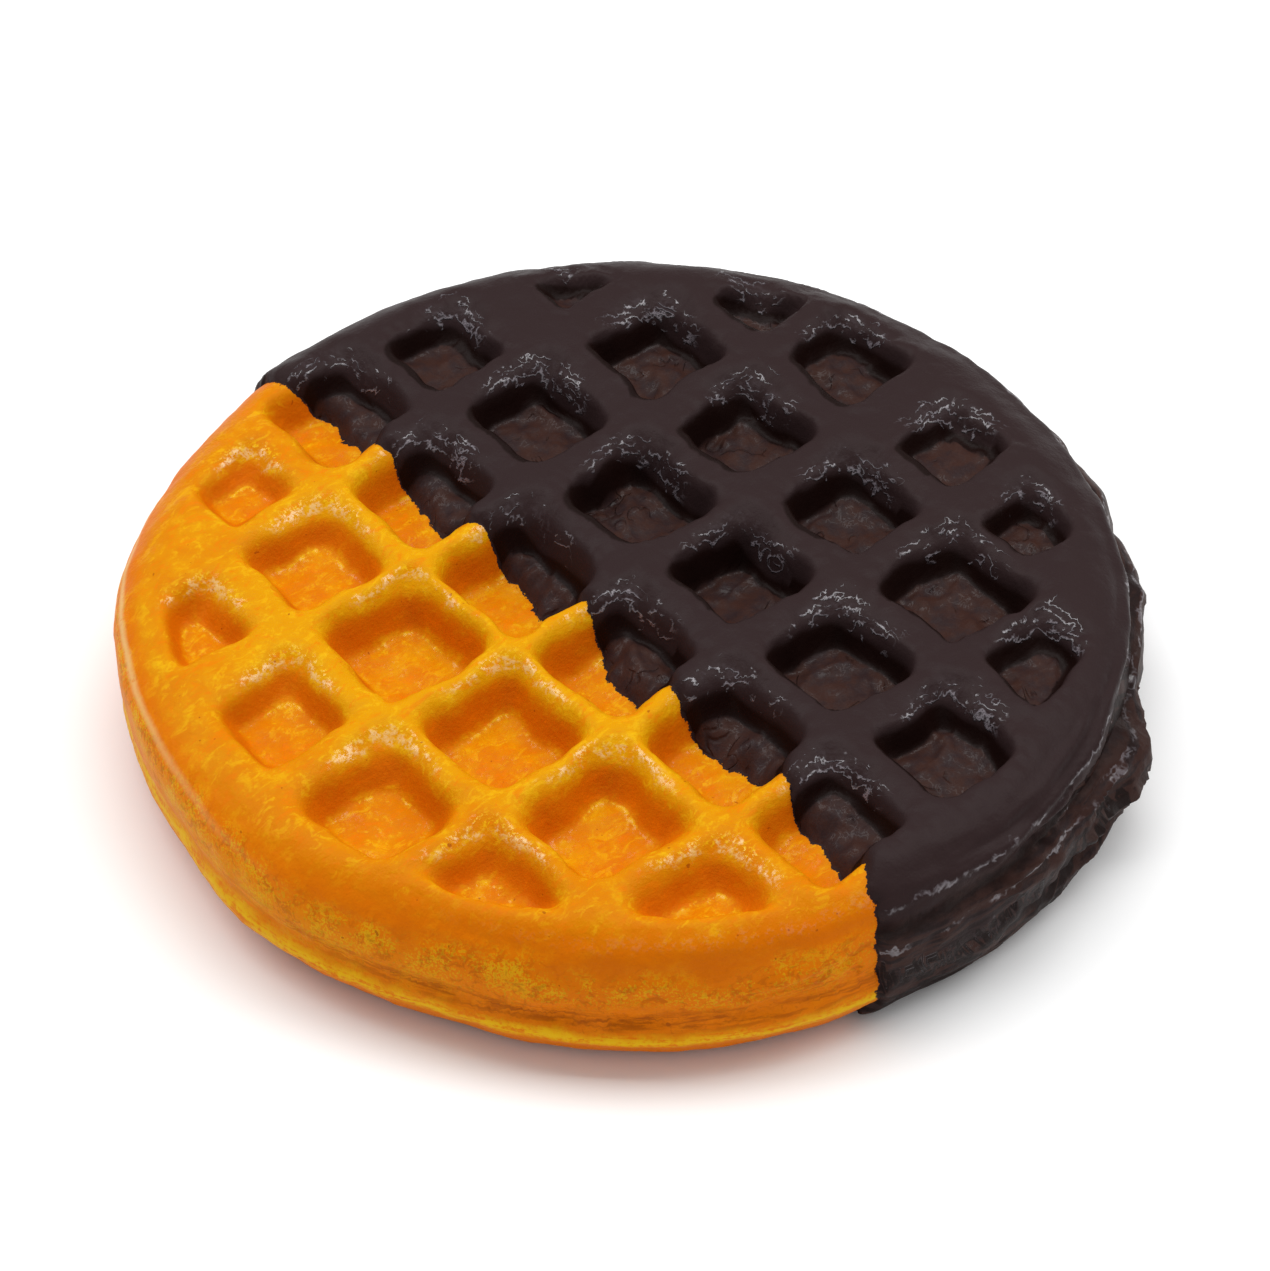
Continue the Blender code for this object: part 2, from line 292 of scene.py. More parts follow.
class WaffleStudio(bpy.types.PropertyGroup):
    """Camera and light."""

    azimuth: FloatProperty(
        name="Azimuth", description="Of the camera", default=math.radians(-40.95), subtype="ANGLE"
    )
    elevation: FloatProperty(
        name="Elevation", description="Of the camera", default=math.radians(45.63), subtype="ANGLE"
    )
    roll: FloatProperty(name="Roll", description="Of the camera", default=math.radians(0.47), subtype="ANGLE")
    distance: FloatProperty(
        name="Distance", description="From the camera to its target", default=465.9 * MM, unit="LENGTH"
    )
    lens: FloatProperty(name="Lens", description="Focal length in millimetres", default=136.97)
    target: FloatVectorProperty(
        name="Target",
        description="What the camera looks at",
        default=(-6.0 * MM, -7.08 * MM, 17.8 * MM),
        subtype="XYZ",
    )
    lamp_width: FloatProperty(name="Lamp width", description="Of the soft lamp", default=2.8, unit="LENGTH")
    lamp_depth: FloatProperty(name="Lamp depth", description="Of the soft lamp", default=0.55, unit="LENGTH")
    lamp_power: FloatProperty(name="Lamp power", description="In watts", default=19.1)
    lamp_place: FloatVectorProperty(
        name="Lamp place", description="Of the soft lamp", default=(0.2, 0.2, 1.0), subtype="XYZ"
    )
    room: FloatProperty(name="Room light", description="Strength of the light from all round", default=0.485)


class Value:
    """A number socket of a material, so that shader maths reads as plain expressions."""

    def __init__(self, finish, socket):
        self.finish = finish
        self.socket = socket

    def _maths(self, operation, *others):
        node = self.finish.node("ShaderNodeMath", {"operation": operation}, dict(enumerate((self, *others))))
        return Value(self.finish, node.outputs[0])

    def __add__(self, other):
        return self._maths("ADD", other)

    def __mul__(self, other):
        return self._maths("MULTIPLY", other)

    def __sub__(self, other):
        return self._maths("SUBTRACT", other)

    def __rsub__(self, other):
        return self * -1 + other

    __radd__ = __add__
    __rmul__ = __mul__

    def least(self, other):
        return self._maths("MINIMUM", other)

    def most(self, other):
        return self._maths("MAXIMUM", other)

    def between(self, low, high):
        """0 below low, 1 above high, and a soft step from one to the other."""
        node = self.finish.node(
            "ShaderNodeMapRange", {"interpolation_type": "SMOOTHSTEP"}, {0: self, 1: low, 2: high, 3: 0, 4: 1}
        )
        return Value(self.finish, node.outputs[0])

    def peak(self, middle, spread):
        """1 at the middle, falling softly to 0 at a distance of spread on both sides."""
        return self.between(middle - spread, middle) * (1 - self.between(middle, middle + spread))


class Finish:
    """One material and the nodes in it."""

    def __init__(self, name):
        self.material = bpy.data.materials.new(name)
        self.material.use_nodes = True
        self.tree = self.material.node_tree
        self.shader = self.tree.nodes["Principled BSDF"]

    def node(self, kind, settings=None, values=None):
        """A node of a kind, its settings made first, then the values or links of its sockets."""
        node = self.tree.nodes.new(kind)
        for name, setting in (settings or {}).items():
            setattr(node, name, setting)
        for socket, value in (values or {}).items():
            self.feed(node.inputs[socket], value)
        return node

    def feed(self, socket, value):
        """Links a socket, or sets a number or a colour."""
        if isinstance(value, Value):
            value = value.socket
        if isinstance(value, bpy.types.NodeSocket):
            self.tree.links.new(value, socket)
        elif isinstance(value, (int, float)):
            socket.default_value = value
        else:
            value = tuple(value)
            socket.default_value = value + (1,) if len(value) < len(socket.default_value) else value

    def attribute(self, name):
        node = self.node("ShaderNodeAttribute", {"attribute_name": name})
        return Value(self, node.outputs["Fac"])

    def place(self):
        """Object coordinates, in millimetres."""
        coordinates = self.node("ShaderNodeTexCoord").outputs["Object"]
        return self.node("ShaderNodeVectorMath", {"operation": "SCALE"}, {0: coordinates, 3: 1000}).outputs[0]

    def grain(self, size, place, detail=2, roughness=0.5, stretch=None, twist=0.0):
        """Noise with features of a size in millimetres, from 0 to 1."""
        if stretch:
            stretched = self.node("ShaderNodeVectorMath", {"operation": "MULTIPLY"}, {0: place, 1: stretch})
            place = stretched.outputs[0]
        values = {
            "Vector": place,
            "Scale": 1 / size,
            "Detail": detail,
            "Roughness": roughness,
            "Distortion": twist,
        }
        return Value(self, self.node("ShaderNodeTexNoise", None, values).outputs[0])

    def mix(self, factor, first, second):
        """The first colour where the factor is 0, and the second where it is 1."""
        return self.node("ShaderNodeMix", {"data_type": "RGBA"}, {0: factor, 6: first, 7: second}).outputs[2]

    def bump(self, height, distance, strength=1.0, normal=None):
        """A fine relief, height from 0 to 1 over a distance in metres."""
        values = {"Height": height, "Distance": distance, "Strength": strength}
        if normal is not None:
            values["Normal"] = normal
        return self.node("ShaderNodeBump", None, values).outputs[0]

    def finish(self, **values):
        """Sets the shader's sockets, with spaces for underscores in their names."""
        for name, value in values.items():
            self.feed(self.shader.inputs[name.replace("_", " ")], value)
        return self.material


def smooth_least(a, b, softness):
    return 0.5 * (a + b - np.sqrt((a - b) ** 2 + softness**2))


def soft_step(x, low, high):
    t = np.clip((x - low) / (high - low), 0, 1)
    return t * t * (3 - 2 * t)


def ridge(x, middle, half_width):
    """A smooth swell, 1 at its middle and 0 far from it."""
    return np.exp(-(((x - middle) / half_width) ** 2))


def arc(angle, middle, half_width):
    """A smooth swell round the rim. All in degrees."""
    return ridge((angle - middle + 180) % 360 - 180, 0, half_width)


def ripple(points, size, seed, octaves=1):
    """Smooth noise at each point, from about -1 to 1. The size of its features is one in metres, or one for
    each axis.
    """
    places = np.asarray(points) / np.array(size) + np.array((seed * 17.3, seed * 5.1, seed * 9.7))
    values = (noise.fractal(place, 1.0, 2.0, octaves) for place in places.tolist())
    return np.fromiter(values, float, len(places))


def outline_radius(angle, sizes):
    """The bare waffle's radius at angles in radians round from +X."""
    radius = np.full_like(angle, sizes.radius)
    for count, cosine, sine in OUTLINE_WAVES:
        radius += cosine * np.cos(count * angle) + sine * np.sin(count * angle)
    for middle, height, width in OUTLINE_SWELLS:
        radius += height * arc(np.degrees(angle), middle, width)
    return radius


def rim_form(angle, sizes):
    """The belly's height, and the widths of the shoulder above it and the foot below it."""
    high = arc(np.degrees(angle), HIGH_MIDDLE, HIGH_SPREAD)
    broad = arc(np.degrees(angle), BROAD_MIDDLE, BROAD_SPREAD)
    belly = sizes.belly * (1 + HIGH_BELLY * high)
    shoulder = sizes.shoulder * (1 + HIGH_SHOULDER * high + BROAD_SHOULDER * broad)
    return belly, shoulder, sizes.foot * (1 + HIGH_FOOT * high)


def dip_edge(y, sizes):
    """Where the chocolate ends, as x at a given y."""
    reach = y / sizes.radius
    curl = DIP_CURL * np.minimum(np.abs(reach), 1.0) ** CURL_POWER
    rags = sum(share * np.sin(turns * reach + start) for share, turns, start in RAG_WAVES)
    return DIP_LINE - curl + DIP_RAGS * rags


def pocket_table(seed, odd_ones, sizes):
    """Each pocket's place, half width and depth, as grids over columns and rows."""
    draw = random.Random(seed)
    middle = (POCKETS_ACROSS - 1) / 2
    shape = (POCKETS_ACROSS, POCKETS_ACROSS)
    place, half, depth = np.zeros(shape + (2,)), np.ones(shape), np.zeros(shape)
    for column in range(POCKETS_ACROSS):
        for row in range(POCKETS_ACROSS):
            wobble = np.array((draw.uniform(-1, 1), draw.uniform(-1, 1))) * PLACE_WOBBLE
            width = sizes.opening / 2 * (1 + draw.uniform(-1, 1) * SIZE_WOBBLE)
            sink = sizes.depth * (1 + draw.uniform(-1, 1) * DEPTH_WOBBLE)
            spot = (column - middle, row - middle)
            size_share, depth_share, shift = odd_ones.get(spot, (1, 1, (0, 0)))
            if abs(spot[0]) == middle and abs(spot[1]) == middle:
                sink = 0
            sink *= 1 - DEPTH_FADE * (math.hypot(*spot) / FADE_REACH) ** 2
            place[column, row] = (np.array(spot) + shift) * sizes.pitch + wobble
            half[column, row] = width * size_share
            depth[column, row] = sink * depth_share
    return place, half, depth


def wall_share(inward, half, form):
    """The share of a pocket's depth at a distance inside its crest, with its corners rounded off."""
    reach, sink = zip(*((1 - share, sink) for share, sink in form.levels))
    steps = np.linspace(-form.softness, form.softness, 7)
    return np.mean([np.interp((inward + step) / half, reach, sink) for step in steps], axis=0)


class Pockets:
    """The pockets of one face, worked out at plan points."""

    def __init__(self, plan, angle, seed, odd_ones, sizes):
        place, half, depth = pocket_table(seed, odd_ones, sizes)
        cell = np.clip(np.floor(plan / sizes.pitch + POCKETS_ACROSS / 2).astype(int), 0, POCKETS_ACROSS - 1)
        column, row = cell[:, 0], cell[:, 1]
        offset = plan - place[column, row]
        beyond = offset.sum(axis=1) / np.maximum(2 * np.abs(offset).max(axis=1), 1e-9)
        offset = np.abs(offset)
        self.half = half[column, row]
        self.depth = depth[column, row]
        away = np.sum(offset**POCKET_ROUNDNESS, axis=1) ** (1 / POCKET_ROUNDNESS)
        to_rim = outline_radius(angle, sizes) - sizes.rim_margin - np.hypot(*plan.T)
        inward = smooth_least(self.half - away, to_rim, RIM_SOFTNESS)
        self.inward = np.where(self.depth > 0, inward, -sizes.pitch)
        self.far = soft_step(beyond, 0.2, 1.0) * (self.depth > 0)
        self.near = soft_step(-beyond, -0.15, 0.25) * (self.depth > 0)

    def sink(self, swell, form):
        """How far the surface sinks, and the share of the way to the pocket's floor."""
        inward = self.inward - swell
        share = wall_share(inward, self.half - swell, form)
        crown = form.crown * np.clip(inward / CROWN_WIDTH + 1, 0, 1) ** 2
        brow = form.brow * self.far * np.clip(inward / form.reach + 1, 0, 1) ** 1.3
        return self.depth * form.fill * share + (crown + brow) * (1 - share), share


def round_cloth(sizes, lines):
    """Two flat round sheets joined at their edge, as vertices (x, y, side), with even quads.

    Draped over the waffle, one sheet covers its top and the other its underside. They meet at the belly.
    """
    spacing = sizes.pitch / lines
    reach = cloth_reach(sizes)
    count = math.ceil(reach / spacing) + 2
    bm = bmesh.new()
    bmesh.ops.create_grid(bm, x_segments=2 * count, y_segments=2 * count, size=count * spacing)
    for vert in bm.verts:
        vert.co = Vector((gather(vert.co.x, sizes), gather(vert.co.y, sizes), 1.0))
    outside = [v for v in bm.verts if v.co.xy.length > reach + 0.2 * spacing]
    bmesh.ops.delete(bm, geom=outside, context="VERTS")
    loose = [v for v in bm.verts if len(v.link_faces) < 2]
    bmesh.ops.delete(bm, geom=loose, context="VERTS")
    for vert in [v for v in bm.verts if v.is_boundary]:
        edge = vert.co.xy.normalized() * reach
        vert.co = Vector((edge.x, edge.y, 0.0))
    copy = bmesh.ops.duplicate(bm, geom=bm.verts[:] + bm.edges[:] + bm.faces[:])["geom"]
    for vert in [g for g in copy if isinstance(g, bmesh.types.BMVert)]:
        vert.co.z = -vert.co.z
    bmesh.ops.reverse_faces(bm, faces=[g for g in copy if isinstance(g, bmesh.types.BMFace)])
    edge = [v for v in bm.verts if v.co.z == 0]
    bmesh.ops.remove_doubles(bm, verts=edge, dist=1e-6)
    return bm


def cloth_reach(sizes):
    """How far the cloth reaches from its middle to the belly."""
    return sizes.radius + 5.7 * MM


def gather(along, sizes):
    """Draws the lines of the mesh together over the pocket walls."""
    turn = along / sizes.pitch
    return sizes.pitch * (turn + 0.03 * math.sin(4 * math.pi * turn))


class Surface:
    """The waffle's surface, worked out at each vertex of a cloth that lies on it."""

    def __init__(self, bm, sizes):
        cloth = np.array([v.co for v in bm.verts])
        self.sizes = sizes
        self.top = cloth[:, 2] >= 0
        self.side = np.where(self.top, 1, -1)
        self.angle = np.arctan2(cloth[:, 1], cloth[:, 0])
        self.degrees = np.degrees(self.angle)
        along = np.hypot(cloth[:, 0], cloth[:, 1])
        belly, shoulder, foot = rim_form(self.angle, sizes)
        width = np.where(self.top, shoulder, foot)
        rise = np.where(self.top, sizes.thickness - belly, belly)
        start = sizes.radius - width
        self.turn = np.clip((along - start) / (cloth_reach(sizes) - start), 0, 1) * np.pi / 2
        radius = np.where(along < start, along, start + width * np.sin(self.turn))
        stray = outline_radius(self.angle, sizes) - sizes.radius
        self.radius = radius + stray * soft_step(radius, 0.6 * sizes.radius, sizes.radius)
        self.height = belly + self.side * rise * np.cos(self.turn)
        out = np.stack([np.sin(self.turn) / width, np.cos(self.turn) / rise], 1)
        self.out = out / np.linalg.norm(out, axis=1)[:, None]
        self.plan = np.stack([self.radius * np.cos(self.angle), self.radius * np.sin(self.angle)], 1)
        self.past_dip = self.plan[:, 0] - dip_edge(self.plan[:, 1], sizes)

    def roll(self):
        """Works out the unevenness, which takes longer than the rest."""
        place = np.column_stack([self.plan, self.height])
        self.slow = ripple(place, 9 * MM, 1)
        self.quick = ripple(place, 3.2 * MM, 2, 2)
        self.fine = ripple(place, 1.2 * MM, 4, 2)
        stray = np.stack([ripple(place, 6 * MM, 6, 2), ripple(place, 6 * MM, 7, 2)], 1) * 0.75 * MM
        seen = self.plan + stray
        self.faces = (
            Pockets(seen, self.angle, SEED, ODD_POCKETS, self.sizes),
            Pockets(seen, self.angle, SEED + 1, {}, self.sizes),
        )
        circle = np.stack([np.cos(self.angle), np.sin(self.angle)], 1) * self.sizes.radius
        on_wall = np.column_stack([circle, self.height])
        level = np.column_stack([circle, np.zeros_like(self.height)])
        self.wander = ripple(level, 14 * MM, 3)
        self.scallop = ripple(level, 6 * MM, 5, 2)
        self.streak = ripple(on_wall, (9 * MM, 9 * MM, 0.8 * MM), 8, 2)
        self.fold = ripple(place, 5 * MM, 11)
        tongues = ripple(place, (4 * MM, 2.2 * MM, 3 * MM), 9, 3) * DIP_TONGUES
        frays = ripple(place, 0.8 * MM, 10) * DIP_FRAYS
        below = soft_step(-self.height, -0.5 * self.sizes.belly, 0) * DIP_UNDERSIDE
        self.ragged_dip = self.past_dip + tongues + frays + below
        return self

    def rim_relief(self):
        """The bare rim: a lip low down, a crease above it, and fine folds and a bulge at the front."""
        share = self.height / self.sizes.thickness + RIM_WANDER * self.wander
        front = arc(self.degrees, *FRONT_ARC)
        crease = ridge(share, *CREASE) * (0.25 + 0.75 * front) * (0.7 + 0.5 * self.fold)
        turned = self.degrees - FOLDS_LEVEL
        folds = sum(ridge(share, height + rise * turned, FOLD_WIDTH) for height, rise in RIM_FOLDS)
        folds = folds * arc(self.degrees, *FOLDS_ARC)
        bulge = ridge(share, *BULGE) * arc(self.degrees, *BULGE_ARC)
        relief = LIP_HEIGHT * ridge(share, *LIP) - CREASE_DEPTH * crease - FOLD_DEPTH * folds
        return relief + BULGE_HEIGHT * bulge + RIM_STREAKS * self.streak * front

    def coat_rim_relief(self):
        """The coat's rim: a groove under the shoulder, and a scalloped lip where it ran and set."""
        share = self.height / self.sizes.thickness
        run_down = np.cos(self.angle - math.radians(SCALLOPED_MIDDLE)) * SCALLOPED_GAIN
        run_down = np.clip(run_down, 0, 1)
        lumps = sum(size * arc(self.degrees, middle, width) for middle, size, width in COAT_LUMPS)
        angular = np.abs(self.scallop) ** SCALLOP_POWER * np.sign(self.scallop)
        ragged = SCALLOP_DEPTH * angular + PUCKER_DEPTH * self.quick - FLANGE_BACK
        flange = ridge(share, *FLANGE) * (lumps + ragged * run_down)
        groove = ridge(share - GROOVE_STRAY * self.scallop, *GROOVE) * run_down
        bead = ridge(share - BEAD_STRAY * self.scallop, *BEAD) * run_down
        slot = ridge(share, *SLOT) * arc(self.degrees, *SLOT_ARC)
        streaks = self.streak * arc(self.degrees, *COAT_STREAK_ARC)
        relief = flange - GROOVE_DEPTH * groove + BEAD_HEIGHT * bead - SLOT_DEPTH * slot
        return relief + COAT_STREAKS * streaks

    def rippled(self, heights):
        """Unevenness in millimetres, from the heights of the slow, the quick and the fine ripples."""
        return sum(height * ripples for height, ripples in zip(heights, (self.slow, self.quick, self.fine)))

    def points(self, swell, chocolate):
        """The surface lifted by swell. Also keeps what the finishes need to know."""
        form = COATED if chocolate else BARE
        sunk = [pockets.sink(swell, form) for pockets in self.faces]
        sink = np.where(self.top, sunk[0][0], sunk[1][0])
        self.share = np.where(self.top, sunk[0][1], sunk[1][1])
        self.inward = np.where(self.top, self.faces[0].inward, self.faces[1].inward) - swell
        self.far = np.where(self.top, self.faces[0].far, self.faces[1].far)
        self.near = np.where(self.top, self.faces[0].near, self.faces[1].near)
        on_rim = soft_step(self.turn, 0.15, 0.9)
        relief = self.coat_rim_relief() if chocolate else self.rim_relief()
        floor = soft_step(self.share, 0.8, 1.0)
        crest = ridge(self.inward / MM, -0.5, 1.3) * (1 - self.share)
        uneven = self.rippled(EVERYWHERE)
        if chocolate:
            fins = ridge(self.fold, 0, 0.07) + 0.5 * ridge(self.quick, 0.1, 0.1)
            uneven = uneven + crest * self.rippled(COAT_CRESTS)
            uneven = uneven + floor * (self.rippled(COAT_FLOORS) + COAT_FINS * fins)
        else:
            uneven = uneven + crest * self.rippled(BARE_CRESTS) + floor * self.rippled(BARE_FLOORS)
        lift = swell + relief * on_rim + uneven * MM
        sink = sink * (1 - on_rim)
        radius = self.radius + self.out[:, 0] * lift
        height = self.height + self.side * (self.out[:, 1] * lift - sink)
        return np.stack([radius * np.cos(self.angle), radius * np.sin(self.angle), height], 1)

    def facts(self):
        """What the finishes read from the mesh, each a number for each vertex."""
        around = self.turn / (np.pi / 2)
        return {
            "share": self.share,
            "inward": self.inward / MM,
            "far": self.far,
            "near": self.near,
            "around": np.where(self.top, around, 2 - around),
            "dip": self.ragged_dip / MM,
            "degrees": np.where(self.degrees > SEAM, self.degrees - 360, self.degrees),
            "out": self.radius / MM,
        }


def lay(bm, points):
    """Moves a cloth's vertices to their places on the waffle, above the table."""
    places = points + np.array(GRID_MIDDLE)
    places[:, 2] = np.maximum(places[:, 2], 0)
    for vert, place in zip(bm.verts, places.tolist()):
        vert.co = place


def mesh_from(name, bm, facts):
    """An object from a shaped cloth, with the facts as attributes."""
    mesh = bpy.data.meshes.new(name)
    bm.to_mesh(mesh)
    bm.free()
    for fact, values in facts.items():
        layer = mesh.attributes.new(fact, "FLOAT", "POINT")
        layer.data.foreach_set("value", values.astype(np.float32))
    mesh.shade_smooth()
    obj = bpy.data.objects.new(name, mesh)
    bpy.context.scene.collection.objects.link(obj)
    return obj


def painted_finish(colours):
    """Airbrushed paint, painted highlights and shade, a little lacquer that catches the light on worn crests,
    and dark below the coat.
    """
    f = Finish("painted_waffle")
    place = f.place()
    share, inward, far, near = map(f.attribute, ("share", "inward", "far", "near"))
    around, degrees, dip, out = map(f.attribute, ("around", "degrees", "dip", "out"))
    cloudy = f.grain(9, place, 3)
    patchy = f.grain(3.4, place, 3, 0.6)
    mottle = f.grain(1.5, place, 4, 0.65)
    fine = f.grain(0.5, place, 3, 0.65)
    grit = f.grain(0.28, place, 2, 0.6)
    streak = f.grain(0.5, place, 3, 0.6, stretch=(0.13, 0.13, 1))
    thread = f.grain(2.2, place, 3, 0.6, twist=1.2)
    speck = f.grain(0.9, place, 1)
    stroke = f.grain(1.2, place, 4, 0.7, stretch=(0.5, 1, 1), twist=0.7)

    # Top: orange, with yellow blown over the ridges at the middle and the left, and deeper orange walls that
    # are partly paint and partly painted shade
    middle = 1 - (out + (cloudy - 0.5) * 30).between(16, 50)
    golden = degrees.peak(*GOLDEN_ARC) * out.between(12, 30) * (1 - around.between(0.4, 0.7))
    yellow = middle * 0.85 + golden * 0.32 + (cloudy - 0.5) * 0.9 + (patchy - 0.5) * 0.9
    yellow = yellow * (1 - share.between(0.05, 0.4) * 0.85)
    colour = f.mix(yellow.between(0.12, 0.8), colours.orange, colours.crest)
    bottom = (share + (patchy - 0.5) * 0.35 + (mottle - 0.5) * 0.2).between(0.8, 1.0)
    # Painted shade in part: the walls get a deeper orange
    deep = share.between(0.08, 0.5) * (1 - bottom * 0.85)
    colour = f.mix(deep * 0.85, colour, colours.wall)
    blotch = (patchy * 0.7 + mottle * 0.4).between(0.55, 0.72) * (1 - yellow.between(0.15, 0.8) * 0.8)
    colour = f.mix(blotch * 0.5, colour, colours.wall)
    off_wall = 1 - deep * 0.85
    colour = f.mix((patchy * 0.6 + mottle * 0.5).between(0.48, 0.7) * 0.5 * off_wall, colour, colours.crest)
    bright = (mottle * 0.6 + fine * 0.5 + (patchy - 0.5) * 0.6).between(0.58, 0.76)
    lit = (0.2 + 0.8 * yellow.most(share.between(0.94, 1.0))).least(1) * off_wall
    colour = f.mix(bright * lit * 0.7, colour, colours.fleck)
    colour = f.mix(stroke.between(0.53, 0.66) * off_wall * 0.45, colour, colours.fleck)
    colour = f.mix((1 - stroke.between(0.35, 0.47)) * 0.5, colour, colours.flame)
    pool = share.between(0.94, 1.0) * (cloudy * 0.5 + patchy * 0.6).between(0.5, 0.68)
    colour = f.mix(pool * 0.5, colour, colours.crest)
    threads = thread.peak(0.5, 0.035) * (mottle + fine * 0.5).between(0.6, 0.85) * share.between(0.9, 1.0)
    colour = f.mix(threads * 0.5, colour, colours.wall)

    # Crests: painted highlights at the far corners, as yellow crumbs and a broken cream line, and a fine dark
    # line of painted shade at the near ones
    along = inward + (thread - 0.5) * 2.4 + (fine - 0.5) * 1.2
    broken = (mottle + (patchy - 0.5) * 0.8).between(0.4, 0.55) * (fine + (grit - 0.5)).between(0.36, 0.5)
    # Painted highlight: a broken cream line along the crests at the far corners
    painted_highlight_line = along.peak(-0.2, 0.5) * far.between(0.1, 0.4) * broken
    # Painted highlight: yellow crumbs on the far crests
    highlight_crumbs = inward.peak(-0.7, 1.0) * far.between(0.05, 0.5) * (fine * 0.8 + grit * 0.5).between(0.68, 0.76)
    colour = f.mix(highlight_crumbs * 0.8, colour, colours.fleck)
    # Painted highlight: a broken yellow line at the far edges of the floors
    floor_highlight_line = share.peak(0.97, 0.035) * far.between(0.05, 0.4) * (mottle + fine * 0.6).between(0.72, 0.9)
    colour = f.mix(floor_highlight_line * 0.8, colour, colours.fleck)
    colour = f.mix(painted_highlight_line * 0.8, colour, colours.painted_highlight_cream)
    # Painted shade: a fine dark line at the near edges of the pockets
    near_edge_shade = along.peak(0.35, 0.3) * near * (mottle + patchy).between(0.85, 1.05)
    colour = f.mix(near_edge_shade * 0.45, colour, colours.wall)

    # Rim: olive gold stipple in a band, brown orange creases darkened as painted shade above a yellow lip
    # lightened as painted light, a cream painted highlight on the left edge, and an orange foot
    band = around + (cloudy - 0.5) * 0.5 + (patchy - 0.5) * 0.3
    colour = f.mix(around.between(0.3, 0.6) * (1 - golden) * 0.85, colour, colours.flame)
    colour = f.mix(band.peak(0.45, 0.3) * 0.6 * (1 - golden), colour, colours.wall)
    right = degrees.peak(*FOLDED_ARC)
    stipple = (fine * 0.3 + grit * 0.9 + (patchy - 0.5) * 0.6).between(0.61, 0.68)
    colour = f.mix(band.peak(0.82, 0.26) * stipple * (0.95 - 0.5 * right), colour, colours.gold)
    left = degrees.peak(*STIPPLED_ARC) * around.peak(0.98, 0.3)
    colour = f.mix(left * (stipple * 0.7 + 0.3), colour, colours.gold)
    shaded = (1 - stroke.between(0.38, 0.5)) * band.peak(0.85, 0.4)
    colour = f.mix(shaded * 0.4 * (1 - golden), colour, colours.rust_brown_and_shade)
    dots = (grit * 0.7 + fine * 0.5).between(0.66, 0.74) * around.between(0.5, 0.8)
    colour = f.mix(dots * 0.25, colour, colours.rust_brown_and_shade)
    # Painted shade: darker brown orange in the rim's crease and folds
    folds = around.peak(0.95, 0.25) * streak.between(0.5, 0.66) * right
    crease = around.peak(1.1, 0.16) * streak.between(0.42, 0.62) * degrees.peak(*CREASED_ARC)
    colour = f.mix(crease.most(folds) * 0.8, colour, colours.rust_brown_and_shade)
    # Painted light: the lip made yellow for the light that the table throws up onto it
    lip = (around + (patchy - 0.5) * 0.2).peak(1.32, 0.16) * (streak * 0.6 + fine * 0.5).between(0.42, 0.6)
    colour = f.mix(lip, colour, colours.fleck)
    # Painted highlight: a broken cream line along the left rim's edge
    edge = degrees.peak(*HIGHLIGHT_EDGE_ARC) * (around + (patchy - 0.5) * 0.08).peak(0.7, 0.08)
    edge = edge * (0.4 + (fine * 0.6 + mottle * 0.6).between(0.4, 0.6)).least(1)
    colour = f.mix(edge * 0.85, colour, colours.painted_highlight_cream)
    colour = f.mix(speck.between(0.77, 0.79) * 0.7, colour, colours.rust_brown_and_shade)

    # Below the coat, and the lacquer
    dipped = (dip + 0.25 + (grit - 0.5) * 0.5 + (fine - 0.5) * 0.8).between(-0.05, 0.05)
    colour = f.mix(dipped, colour, colours.chocolate)
    glints = (grit * 0.6 + fine * 0.6 + (mottle - 0.5) * 0.8).between(0.62, 0.74)
    crests = inward.peak(-0.3, 1.1) * far.between(0, 0.3) * 0.4
    floors = share.peak(0.98, 0.03) * 0.2
    shoulder = (around + (patchy - 0.5) * 0.16).peak(0.4, 0.11) * degrees.peak(*SHINING_ARC) * 0.6
    lacquer = ((crests + floors + shoulder).least(1) * glints).most(painted_highlight_line * 0.35) * (1 - dipped)
    bumped = f.bump(mottle * 0.5 + fine * 0.35 + grit * 0.15, 0.2 * MM)
    return f.finish(
        Base_Color=colour,
        Roughness=0.42 + (mottle - 0.5) * 0.3,
        Normal=bumped,
        Specular_IOR_Level=0.034,
        Coat_Weight=lacquer,
        Coat_Roughness=0.18,
        Coat_IOR=1.9,
    )


